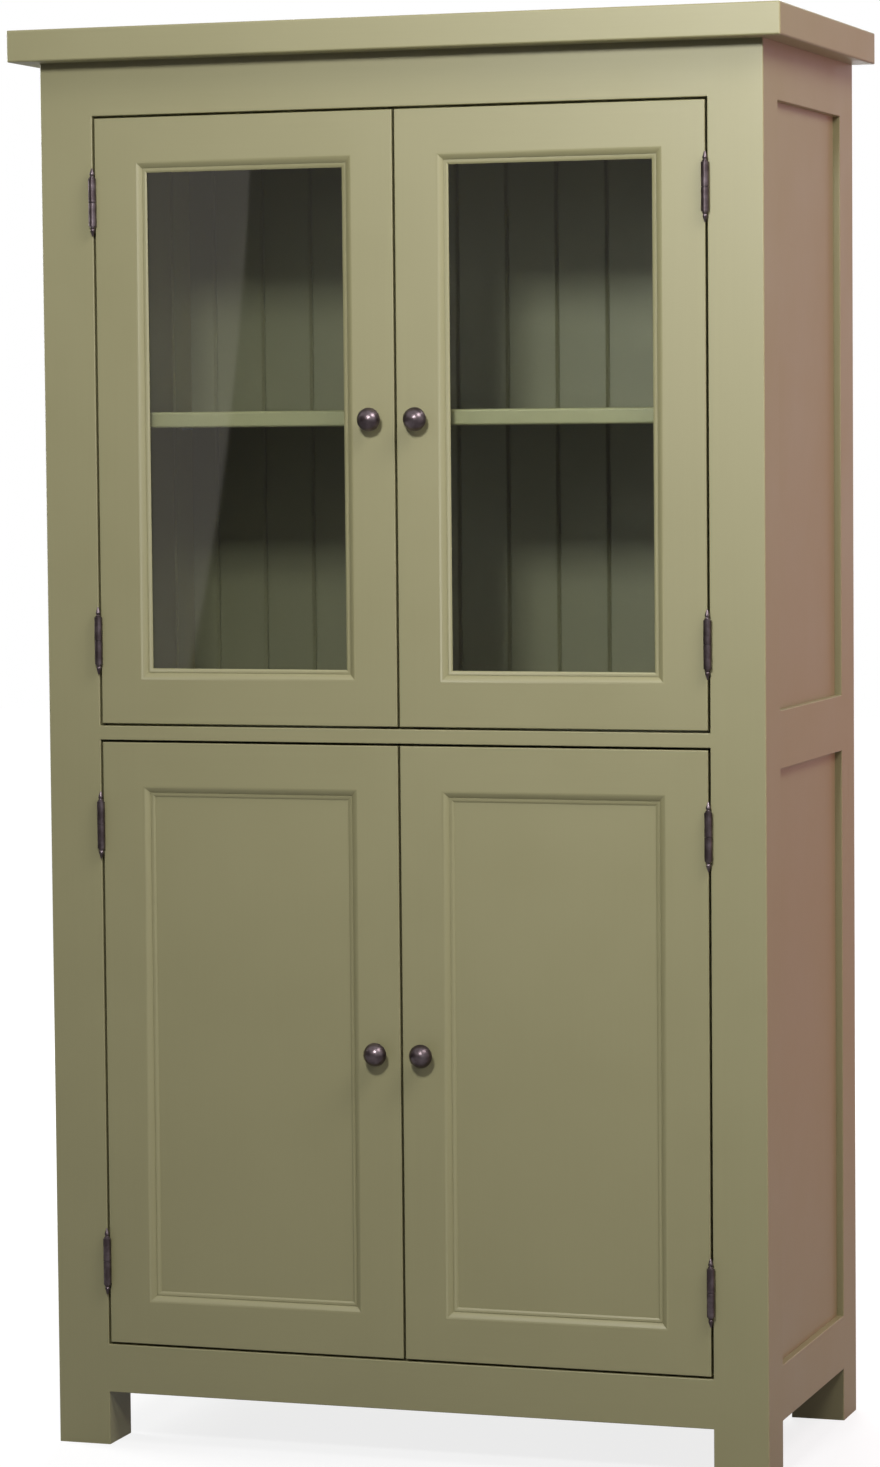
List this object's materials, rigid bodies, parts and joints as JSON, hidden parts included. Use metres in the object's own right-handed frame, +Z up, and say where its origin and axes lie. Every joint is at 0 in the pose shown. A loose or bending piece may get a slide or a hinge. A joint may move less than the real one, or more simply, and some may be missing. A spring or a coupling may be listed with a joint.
{
  "type": "kitchen cupboard",
  "caption": "Tall freestanding painted wood kitchen cupboard with glazed double doors above panelled double doors, shelves, plank back, thick overhanging top and square feet",
  "frame": {"origin": "on the floor, under the middle of the cupboard's overall box", "axes": "+Z up, +X to the viewer's right facing the doors, -Y towards the viewer: the doors are on the -Y side"},
  "size_m": [1, 0.5, 1.8],
  "materials": {
    "green_paint": "satin sage green paint on wood",
    "clear_glass": "clear float glass",
    "aged_bronze": "dark aged bronze",
    "zinc_steel": "zinc-plated steel",
    "catch_plastic": "off-white moulded plastic"
  },
  "bodies": {
    "carcass": {"back_boards": "green_paint", "back_rails": "green_paint", "board_cleats": "green_paint", "divider_board": "green_paint", "floor_board": "green_paint", "foot_blocks": "green_paint", "front_bottom_rail": "green_paint", "front_mid_rail": "green_paint", "front_top_rail": "green_paint", "hinge_frame_leaves": "aged_bronze", "left_front_stile": "green_paint", "left_side_panels": "green_paint", "left_side_rails": "green_paint", "left_side_stiles": "green_paint", "magnetic_catches": "catch_plastic", "right_front_stile": "green_paint", "right_side_panels": "green_paint", "right_side_rails": "green_paint", "right_side_stiles": "green_paint", "shelf_pins": "zinc_steel", "shelves": "green_paint", "top_board": "green_paint"},
    "upper_left_door": {"upper_left_bottom_rail": "green_paint", "upper_left_glass": "clear_glass", "upper_left_glazing_beads": "green_paint", "upper_left_hinge_leaves": "aged_bronze", "upper_left_hinge_stile": "green_paint", "upper_left_knob": "aged_bronze", "upper_left_meeting_stile": "green_paint", "upper_left_moulding": "green_paint", "upper_left_strike_plate": "zinc_steel", "upper_left_top_rail": "green_paint"},
    "upper_right_door": {"upper_right_bottom_rail": "green_paint", "upper_right_glass": "clear_glass", "upper_right_glazing_beads": "green_paint", "upper_right_hinge_leaves": "aged_bronze", "upper_right_hinge_stile": "green_paint", "upper_right_knob": "aged_bronze", "upper_right_meeting_stile": "green_paint", "upper_right_moulding": "green_paint", "upper_right_strike_plate": "zinc_steel", "upper_right_top_rail": "green_paint"},
    "lower_left_door": {"lower_left_bottom_rail": "green_paint", "lower_left_hinge_leaves": "aged_bronze", "lower_left_hinge_stile": "green_paint", "lower_left_knob": "aged_bronze", "lower_left_meeting_stile": "green_paint", "lower_left_moulding": "green_paint", "lower_left_panel": "green_paint", "lower_left_strike_plate": "zinc_steel", "lower_left_top_rail": "green_paint"},
    "lower_right_door": {"lower_right_bottom_rail": "green_paint", "lower_right_hinge_leaves": "aged_bronze", "lower_right_hinge_stile": "green_paint", "lower_right_knob": "aged_bronze", "lower_right_meeting_stile": "green_paint", "lower_right_moulding": "green_paint", "lower_right_panel": "green_paint", "lower_right_strike_plate": "zinc_steel", "lower_right_top_rail": "green_paint"}
  },
  "joints": [
    {"name": "upper_left_door_hinge", "type": "hinge", "parent": "carcass", "child": "upper_left_door", "pos_m": [-0.3985, -0.2203, 1.308], "axis": [0, 0, -1], "range_deg": [0, 175]},
    {"name": "upper_right_door_hinge", "type": "hinge", "parent": "carcass", "child": "upper_right_door", "pos_m": [0.3985, -0.2203, 1.308], "axis": [0, 0, 1], "range_deg": [0, 175]},
    {"name": "lower_left_door_hinge", "type": "hinge", "parent": "carcass", "child": "lower_left_door", "pos_m": [-0.3985, -0.2203, 0.518], "axis": [0, 0, -1], "range_deg": [0, 175]},
    {"name": "lower_right_door_hinge", "type": "hinge", "parent": "carcass", "child": "lower_right_door", "pos_m": [0.3985, -0.2203, 0.518], "axis": [0, 0, 1], "range_deg": [0, 175]}
  ]
}
